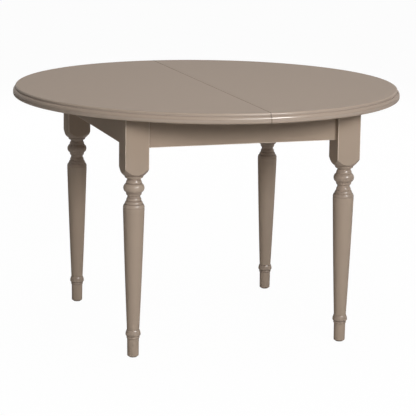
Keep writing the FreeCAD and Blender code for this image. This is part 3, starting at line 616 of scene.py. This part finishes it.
def inner_flat(low, high):
    """The tool that takes off the inner corner of the block, for the corner block."""
    tool = bmesh.new()
    made = add_box(tool, (LEG_BLOCK, LEG_BLOCK, high - low), (0, 0, 0))
    bmesh.ops.rotate(tool, cent=(0, 0, 0), matrix=Matrix.Rotation(math.pi / 4, 3, "Z"),
                     verts=made)
    distance = (LEG_BLOCK / 2 - INNER_FLAT / 2) * math.sqrt(2) + LEG_BLOCK / 2
    inwards = Vector((1, 1, 0)).normalized() * distance
    bmesh.ops.translate(tool, vec=inwards + UP * (low + high) / 2, verts=made)
    return tool


def add_legs(finish):
    """Turns the four legs. The long taper and the collar's side are matt, as broad faces are."""
    names = list(LEG_MEMBERS)
    lengths = [member[0] for member in LEG_MEMBERS.values()]
    floor_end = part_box("leg_front_left")[0].z / MM + FOOT_START[2]
    broad_low, broad_high = [floor_end + sum(lengths[:names.index(member)])
                             for member in ("taper", "collar_roll")]

    def matt(face, vert):
        height = face.calc_center_median().z / MM
        return 0 if broad_low < height < broad_high else None

    rail_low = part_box("apron_front")[0].z
    for corner, degrees in CORNER_TURNS.items():
        node = "leg_" + corner
        low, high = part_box(node)
        middle = (low + high) / 2
        bm = bmesh.new()
        lathe(bm, leg_outline(low.z / MM, high.z / MM), TURNING_STEPS)
        square_block(bm)
        bm = carved(bm, inner_flat(rail_low / MM, high.z / MM + LEG_BLOCK))
        place = Matrix.Translation((middle.x, middle.y, 0))
        turn = Matrix.Rotation(math.radians(degrees), 4, "Z")
        bm.transform(place @ turn @ Matrix.Scale(MM, 4))
        mark_edges(bm)
        mark_anew(bm, "moulding", matt)
        piece("turned_" + node, bm, "base_frame", finish, node, marked=True)


# Half tops

RIM_BEAD = 5.0
RIM_BEAD_DROP = 4.0
RIM_LEDGE = 1.5
RIM_OVOLO = 11.0
RIM_OVOLO_REACH = 5.5
RIM_FOOT = 5.0
QUARTER = 1 - math.sqrt(0.5)
SEAM_EASE = 0.8
SEAM_FLATS = (22.5, 45, 67.5)
SEAM_SHADE = 1.4
TOP_STEPS = 288
DOWEL_HOLE = 5.4
DOWEL_HOLE_DEPTH = 16.0
DOWEL_HOLE_STEPS = 32


def rim_outline(reach, low, high):
    """The moulded edge from the underside up, in millimetres."""
    rise = math.sqrt(RIM_OVOLO ** 2 - (RIM_OVOLO - RIM_OVOLO_REACH) ** 2)
    ledge = high - RIM_BEAD - RIM_BEAD_DROP
    chord = math.hypot(RIM_OVOLO_REACH, rise)
    bulge = RIM_OVOLO - math.sqrt(RIM_OVOLO ** 2 - (chord / 2) ** 2)
    bead = reach - RIM_OVOLO_REACH - RIM_LEDGE
    stations = [(reach, low + RIM_FOOT, RIM_FOOT * QUARTER), (reach, ledge - rise, 0),
                (reach - RIM_OVOLO_REACH, ledge, bulge), (bead, ledge, 0),
                (bead, high - RIM_BEAD, 0), (bead - RIM_BEAD, high, RIM_BEAD * QUARTER)]
    points = [Vector((0, low)), Vector((reach - RIM_FOOT, low))]
    for radius, height, bulge in stations:
        points += arc(points[-1], Vector((radius, height)), bulge)
    points.append(Vector((0, high)))
    return softened(points)


def dowel_holes(seam):
    """The tool for the holes that take the seam dowels."""
    holes = bmesh.new()
    for low, high in solids_of("seam_dowels"):
        middle = (low + high) / 2 / MM
        middle.x = seam
        bmesh.ops.create_cone(holes, cap_ends=True, segments=DOWEL_HOLE_STEPS,
                              radius1=DOWEL_HOLE, radius2=DOWEL_HOLE,
                              depth=DOWEL_HOLE_DEPTH * 2, matrix=pointing(middle, (1, 0, 0)))
    return holes


def add_half_top(half, side, finish):
    """Turns the whole top and keeps one side of the seam, with the seam's upper edge eased."""
    node = "top_" + half
    low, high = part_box(node)
    seam = (high.x if side < 0 else low.x) / MM
    bm = bmesh.new()
    lathe(bm, rim_outline(high.y / MM, low.z / MM, high.z / MM), TOP_STEPS)
    pared(bm, (seam, 0, 0), (-side, 0, 0))
    for degrees in SEAM_FLATS:
        slope = math.radians(degrees)
        direction = Vector((-side * math.cos(slope), 0, math.sin(slope)))
        centre = Vector((seam + side * SEAM_EASE, 0, high.z / MM - SEAM_EASE))
        pared(bm, centre + direction * SEAM_EASE, direction)
    if side > 0:
        bm = carved(bm, dowel_holes(seam))
    scored(bm, (seam + side * SEAM_SHADE, 0, 0), (1, 0, 0), SCORE_SLACK)
    bm.transform(Matrix.Scale(MM, 4))

    # Faces beside the seam take the crease colour: painted shade in the seam
    def dark(face, vert):
        return -1 if abs(face.calc_center_median().x / MM - seam) < SEAM_SHADE else None

    mark_edges(bm)
    mark_anew(bm, "edge", dark)
    piece("half_" + node, bm, "top_" + half + "_half", finish, node,
          marked=True)


# Rails between the legs, with their long edges rounded and painted shade at their ends, where
# they meet the legs

RAIL_EASE = 1.5
RAIL_ROUNDS = 4
JOINT_SHADES = (1.5, 8.5)
JOINT_SLACK = 0.01


def add_rails(finishes):
    left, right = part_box("leg_front_left")[1].x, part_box("leg_front_right")[0].x
    front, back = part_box("leg_front_left")[1].y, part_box("leg_back_left")[0].y
    near, far = JOINT_SHADES
    for name, axis, start, end in (("front", 0, left, right), ("back", 0, left, right),
                                   ("left", 1, front, back), ("right", 1, front, back)):
        low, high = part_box("apron_" + name)
        low[axis], high[axis] = start, end
        bm = bmesh.new()
        add_box(bm, high - low, (low + high) / 2)
        long_edges = [edge for edge in bm.edges
                      if edge.verts[0].co[axis] * edge.verts[1].co[axis] < 0]
        rounded(bm, long_edges, RAIL_EASE * MM, RAIL_ROUNDS)
        across = Vector([number == axis for number in range(3)])
        for corner, inwards in ((low, 1), (high, -1)):
            for reach in JOINT_SHADES:
                scored(bm, corner + across * inwards * reach * MM, across, SCORE_SLACK * MM)

        # Rail ends fade to the crease colour: painted shade where the rail meets the leg
        def dark(face, vert):
            along = vert.co[axis]
            reach = min(along - start, end - along) / MM
            return -min(1, (far - reach) / (far - near)) if reach < far - JOINT_SLACK else None

        mark_edges(bm)
        mark_anew(bm, "edge", dark)
        piece("rail_" + name, bm, "base_frame", finishes[AXES[axis]],
              "apron_" + name, marked=True)


# Stage: a pale floor, a white surround and soft studio light

LAMP_AIM = 0.55
AMBIENT = 0.125
FLOOR_SEEN = (1, 1, 1, 1)
FLOOR_GLOW = 0.97
FLOOR_BOUNCE = (0.5, 0.49, 0.48, 1)
FLOOR_SIZE = 30


def seen_directly(tree):
    """1 for what the eye, a reflection or glass sees of the stage, and 0 for its light."""
    path = tree.nodes.new("ShaderNodeLightPath")
    total = path.outputs["Is Camera Ray"]
    for word in ("Is Glossy Ray", "Is Transmission Ray"):
        adder = tree.nodes.new("ShaderNodeMath")
        adder.operation = "MAXIMUM"
        tree.links.new(total, adder.inputs[0])
        tree.links.new(path.outputs[word], adder.inputs[1])
        total = adder.outputs[0]
    return total


def add_floor():
    material = bpy.data.materials.new("pale_floor")
    material.use_nodes = True
    tree = material.node_tree
    tree.nodes.clear()

    def plain(kind, colour):
        shader = tree.nodes.new("ShaderNode" + kind)
        shader.inputs["Color"].default_value = colour
        return shader.outputs[0]

    def mixed(share, first, second):
        mix = tree.nodes.new("ShaderNodeMixShader")
        if isinstance(share, float):
            mix.inputs[0].default_value = share
        else:
            tree.links.new(share, mix.inputs[0])
        tree.links.new(first, mix.inputs[1])
        tree.links.new(second, mix.inputs[2])
        return mix.outputs[0]

    shaded = plain("BsdfDiffuse", FLOOR_SEEN)
    seen = mixed(FLOOR_GLOW, shaded, plain("Emission", FLOOR_SEEN))
    above = mixed(seen_directly(tree), plain("BsdfDiffuse", FLOOR_BOUNCE), seen)
    from_below = tree.nodes.new("ShaderNodeNewGeometry").outputs["Backfacing"]
    through = plain("BsdfTransparent", (1, 1, 1, 1))
    output = tree.nodes.new("ShaderNodeOutputMaterial")
    tree.links.new(mixed(from_below, above, through), output.inputs["Surface"])
    bm = bmesh.new()
    bmesh.ops.create_grid(bm, x_segments=1, y_segments=1, size=FLOOR_SIZE)
    mesh = meshed("floor", bm)
    mesh.materials.append(material)
    added("floor", mesh)


def add_surround():
    world = bpy.data.worlds.new("white_surround")
    world.use_nodes = True
    tree = world.node_tree
    back = tree.nodes["Background"]
    back.inputs["Color"].default_value = (1, 1, 1, 1)
    light = tree.nodes.new("ShaderNodeMapRange")
    tree.links.new(seen_directly(tree), light.inputs["Value"])
    light.inputs["To Min"].default_value = AMBIENT
    light.inputs["To Max"].default_value = 1.0
    tree.links.new(light.outputs[0], back.inputs["Strength"])
    bpy.context.scene.world = world


def add_lamp(name, azimuth, elevation, distance, size, watts, glints):
    """A soft box that faces the table."""
    turn, rise = math.radians(azimuth), math.radians(elevation)
    away = Vector((math.sin(turn) * math.cos(rise), -math.cos(turn) * math.cos(rise),
                   math.sin(rise)))
    lamp = bpy.data.lights.new(name, "AREA")
    lamp.shape = "RECTANGLE"
    lamp.size, lamp.size_y = size
    lamp.energy = watts
    made = added(name, lamp)
    made.location = Vector((0, 0, LAMP_AIM)) + away * distance
    made.rotation_mode = "QUATERNION"
    made.rotation_quaternion = (-away).to_track_quat("-Z", "Y")
    made.visible_glossy = glints
    made.visible_diffuse = not glints


# Name, azimuth (0 in front of the table and 90 to its right), elevation, distance, width and
# height, watts, and whether it is for glints. Most of them light the table and aren't seen in
# its wax. A lamp for glints is seen there and lights nothing else
LAMPS = [
    ("right_lamp", 16, 20, 5.0, (0.8, 0.9), 32, False),
    ("left_lamp", -3, 19, 5.0, (2.6, 1.0), 149, False),
    ("back_fill", 168, 20, 5.0, (3.0, 1.5), 84, False),
    ("right_fill", 106, 20, 5.0, (2.0, 1.5), 50, False),
    ("overhead_lamp", -20, 84, 2.4, (1.8, 1.8), 17.5, False),
    ("window_glint", 27, 31, 5.0, (0.75, 0.6), 260, True),
    ("front_glint", 13.5, 29, 15.0, (6.0, 1.8), 1800, True),
]


def set_stage():
    bpy.context.scene.view_settings.view_transform = "Standard"
    add_floor()
    add_surround()
    for lamp in LAMPS:
        add_lamp(*lamp)


# Fastenings, all along the Z axis at first and in millimetres

THREAD_FLAT = 0.06
THREAD_SUNK = 0.97
THREAD_STEPS = 16
ROD_STEPS = 32
SCREW_ROOT = 0.72
SCREW_TAPER = 2.4
SCREW_PITCH = 1.1
CROSS_WIDTH = 0.32
CROSS_REACH = 0.62
CROSS_DEPTH = 0.45
HEAD_FACE = 0.97
BOLT_RADIUS = 4.0
BOLT_ROOT = 3.4
BOLT_POINT = 6.0
BOLT_CHAMFER = 1.0
BOLT_PITCH = 1.25
BOLT_STEPS = 24
LAG_PITCH = 3.2
NUT_FLATS = 13.0
NUT_STEPS = 48
WASHER_HOLE = 4.3
WASHER_EASE = 0.3
BEVELLED = 0.6

# Where its thread and root end and its neck, cone and rim begin, in heads from a screw's top
SCREW_STATIONS = (2.2, 2, 1.8, 1, 0.08)

# Radius and height of each screw's head
SCREWS = {
    "runner_screws_left": (4.5, 3.0),
    "runner_screws_right": (4.5, 3.0),
    "lock_screws_left": (3.4, 1.6),
    "lock_screws_right": (3.4, 1.6),
    "corner_block_screws": (4.0, 2.4),
}


def turned(outline, steps):
    bm = bmesh.new()
    lathe(bm, [Vector(point) for point in outline], steps)
    return bm


def add_thread(bm, root, crest, low, high, pitch, steps=THREAD_STEPS):
    """A closed ridge that winds up the Z axis from low to high."""
    outline = [(root * THREAD_SUNK, 0), (root, pitch * THREAD_FLAT), (crest, pitch / 2),
               (root, pitch * (1 - THREAD_FLAT))]
    verts = [bm.verts.new((radius, 0, low + rise)) for radius, rise in outline]
    edges = [bm.edges.new((verts[n - 1], verts[n])) for n in range(len(verts))]
    turns = (high - low) / pitch - 1
    made = bmesh.ops.spin(bm, geom=verts + edges, cent=(0, 0, 0), axis=UP,
                          dvec=(0, 0, pitch / steps), angle=2 * math.pi * turns,
                          steps=round(turns * steps), use_merge=False)
    last = [part for part in made["geom_last"] if isinstance(part, bmesh.types.BMEdge)]
    bmesh.ops.holes_fill(bm, edges=edges + last)
    outward(bm)


def stamped(template, places):
    """One mesh with a copy of the template at each place, in metres. It uses it up."""
    mesh = meshed("stamp", template)
    bm = bmesh.new()
    for place in places:
        first = len(bm.verts)
        bm.from_mesh(mesh)
        bm.verts.ensure_lookup_table()
        bmesh.ops.transform(bm, matrix=place @ Matrix.Scale(MM, 4), verts=bm.verts[first:])
    bpy.data.meshes.remove(mesh)
    return bm


def screw_form(length, head_radius, head_height):
    """A countersunk screw with a cross recess, its point at the origin and its head up."""
    radius = head_radius / 2
    root, point = radius * SCREW_ROOT, radius * SCREW_TAPER
    thread_end, root_end, neck, cone, rim = [length - head_height * heads
                                             for heads in SCREW_STATIONS]
    bm = turned([(0, 0), (root, point), (root, root_end), (radius, neck), (radius, cone),
                 (head_radius, rim), (head_radius * HEAD_FACE, length), (0, length)], ROD_STEPS)
    reach, wide = head_radius * CROSS_REACH * 2, head_radius * CROSS_WIDTH
    for size in ((reach, wide, head_height), (wide, reach, head_height)):
        cross = bmesh.new()
        add_box(cross, size, (0, 0, length + head_height * (0.5 - CROSS_DEPTH)))
        bm = carved(bm, cross)
    add_thread(bm, root, radius, point, thread_end, radius * SCREW_PITCH)
    return bm


def inwards_of(place):
    return Vector((-math.copysign(1, place.x), -math.copysign(1, place.y), 0))


def add_screws(node, head_radius, head_height, finish):
    """Screws in the places of a fixed node's own. Their heads look down, or into the frame."""
    places = []
    for low, high in solids_of(node):
        size, middle = high - low, (low + high) / 2
        axis = max(range(3), key=lambda number: size[number])
        direction = Vector((0, 0, 0))
        direction[axis] = (inwards_of(middle) - UP)[axis]
        places.append(pointing(middle - direction * size[axis] / 2, direction))
    form = screw_form(size[axis] / MM, head_radius, head_height)
    piece("cut_" + node, stamped(form, places), BODY_OF[node], finish, node)


def add_bolts(finish):
    """The hanger bolts that draw each leg to its corner block, with washers and nuts.

    They lie at 45 degrees, so their boxes in the frame are measured across a diagonal.
    """
    washers, nuts, bolts = [], [], []
    for low, high in solids_of("bolt_washers"):
        middle, wide = (low + high) / 2, high.z - low.z
        inwards = inwards_of(middle).normalized()
        thick = (high.x - low.x - wide / math.sqrt(2)) * math.sqrt(2)
        washers.append(pointing(middle - inwards * thick / 2, inwards))
        nuts.append(pointing(middle + inwards * thick / 2, inwards))
    outer, thick = wide / 2 / MM, thick / MM
    for low, high in solids_of("hanger_bolts"):
        middle = (low + high) / 2
        inwards = inwards_of(middle).normalized()
        long = (high.x - low.x) * math.sqrt(2) - BOLT_RADIUS * 2 * MM
        bolts.append(pointing(middle - inwards * long / 2, inwards))
    long /= MM
    nut_low, nut_high = solids_of("bolt_nuts")[0]
    centre = (nut_low + nut_high) / 2
    height = min((centre - place.translation).length for place in nuts) * 2 / MM

    ring = turned([(WASHER_HOLE, 0), (outer - WASHER_EASE, 0), (outer, WASHER_EASE),
                   (outer, thick - WASHER_EASE), (outer - WASHER_EASE, thick),
                   (WASHER_HOLE, thick), (WASHER_HOLE, 0)], NUT_STEPS)
    corner, flat = NUT_FLATS / math.sqrt(3), NUT_FLATS / 2
    nut = turned([(0, 0), (flat * HEAD_FACE, 0), (corner, BEVELLED), (corner, height - BEVELLED),
                  (flat * HEAD_FACE, height), (0, height)], NUT_STEPS)
    for number in range(6):
        angle = math.radians(30 + 60 * number)
        direction = Vector((math.cos(angle), math.sin(angle), 0))
        pared(nut, direction * flat, direction)
    bolt = turned([(0, 0), (BOLT_ROOT, BOLT_POINT), (BOLT_ROOT, long - BOLT_CHAMFER),
                   (BOLT_ROOT - BOLT_CHAMFER, long), (0, long)], ROD_STEPS)
    add_thread(bolt, BOLT_ROOT, BOLT_RADIUS, BOLT_POINT, long / 2 - BOLT_PITCH, LAG_PITCH)
    add_thread(bolt, BOLT_ROOT, BOLT_RADIUS, long / 2, long - BOLT_CHAMFER, BOLT_PITCH,
               BOLT_STEPS)
    for name, form, places, node in (("pressed_washers", ring, washers, "bolt_washers"),
                                     ("chamfered_nuts", nut, nuts, "bolt_nuts"),
                                     ("threaded_bolts", bolt, bolts, "hanger_bolts")):
        piece(name, stamped(form, places), "base_frame", finish, node)


# Felt, and everything else under the top with its edges rubbed

FELT_EASE = 0.8
FELT_ROUNDS = 4
FLAT_TURN = 1
OUTER_TURN = 40
RUB_ROUNDS = 2

# How much is rubbed off the edges of each kind of piece, in millimetres
SLIDE_RUB = 0.9
DOWEL_RUB = 0.7
BEARER_RUB = 1.2
NYLON_RUB = 0.2
ZINC_RUB = 0.25
BRASS_RUB = 0.2
GLIDE_RUB = 0.4
RUBBER_RUB = 0.5
LEAF_RUB = 0.8


def add_felt(finish):
    bm = bmesh.new()
    for low, high in solids_of("leaf_felt_pads"):
        made = add_box(bm, high - low, (low + high) / 2)
        rounded(bm, list({edge for vert in made for edge in vert.link_edges}),
                FELT_EASE * MM, FELT_ROUNDS)
    piece("soft_felt_pads", bm, "base_frame", finish, "leaf_felt_pads")


def rub(ease, slot, finish, *nodes):
    """Copies of fixed nodes with their outer edges rounded off, in place of the nodes."""
    for node in nodes:
        bm = bmesh.new()
        bm.from_mesh(CAD[node].data)
        bmesh.ops.remove_doubles(bm, verts=bm.verts, dist=WELD)
        bmesh.ops.dissolve_limit(bm, angle_limit=math.radians(FLAT_TURN), verts=bm.verts,
                                 edges=bm.edges)
        outer = [edge for edge in bm.edges if edge.is_manifold
                 and edge.calc_face_angle_signed(0) > math.radians(OUTER_TURN)]
        rounded(bm, outer, ease * MM, RUB_ROUNDS)
        outward(bm)
        piece("rubbed_" + node, bm, BODY_OF[node], finish, node)


def rub_the_rest(beeches, paints, zinc, brass):
    """Every node that no other function stands in for, but for the hidden screws."""
    halves, sides = ("left", "right"), ("front", "back")
    runners, racks = [[word + half + "_" + side for half in halves for side in sides]
                      for word in ("runner_", "rack_")]
    blocks = ["corner_block_" + side + "_" + half for side in sides for half in halves]
    glides = moulded("brown_glide_plastic", linear(92, 84, 76), linear(128, 120, 110), 0.42)
    rubber = moulded("black_rubber", linear(30, 30, 30), linear(66, 65, 63), 0.62)
    rub(SLIDE_RUB, "bare_beech", beeches["x"], *runners, "slide_centre_front",
        "slide_centre_back", *blocks)
    rub(DOWEL_RUB, "bare_beech", beeches["x"], "seam_dowels")
    rub(DOWEL_RUB, "bare_beech", beeches["y"], "leaf_dowels")
    rub(BEARER_RUB, "bare_beech", beeches["y"], "leaf_bearer_left", "leaf_bearer_right",
        "leaf_guide_blocks")
    rub(NYLON_RUB, "nylon", nylon(), *racks, "pinion_front", "pinion_back")
    rub(ZINC_RUB, "zinc_steel", zinc, "pinion_axle_front", "pinion_axle_back", "lock_plates",
        "lock_pivots", "lock_keepers", "lock_lever_front", "lock_lever_back")
    rub(BRASS_RUB, "hinge_brass", brass, "leaf_hinge_plates_upper", "leaf_hinge_plates_lower",
        "leaf_hinge_pins")
    rub(GLIDE_RUB, "glide_plastic", glides, "foot_glides", "apron_glide_pads")
    rub(RUBBER_RUB, "black_rubber", rubber, "slide_bumpers")
    rub(LEAF_RUB, "painted_wood", paints["x"], "leaf_panel_upper", "leaf_panel_lower")


def plate_hidden_screws(finish):
    """The hinge screws, which lie hidden between the folded panels, keep their plain solids."""
    hidden = CAD["leaf_hinge_screws"]
    hidden.data.materials.clear()
    hidden.data.materials.append(finish)


# The table

add_camera()
set_stage()
paints = {axis: paint(axis) for axis in AXES}
beeches = {axis: beech(axis) for axis in "xy"}
zinc = plated("zinc_plate", linear(176, 178, 178), linear(150, 146, 132), 0.3)
brass = plated("brass_plate", linear(196, 160, 92), linear(150, 112, 62), 0.28, "x")
add_legs(paints["z"])
# The top takes a cooler copy of the paint, a painted sheen of the light from above
top_paint = paint("y", PAINT_ON_TOP_WITH_PAINTED_SHEEN, "top", WAX_ON_TOP)
add_half_top("left", -1, top_paint)
add_half_top("right", 1, top_paint)
add_rails(paints)
add_bolts(zinc)
for node, (head_radius, head_height) in SCREWS.items():
    add_screws(node, head_radius, head_height, zinc)
add_felt(felt())
rub_the_rest(beeches, paints, zinc, brass)
plate_hidden_screws(brass)
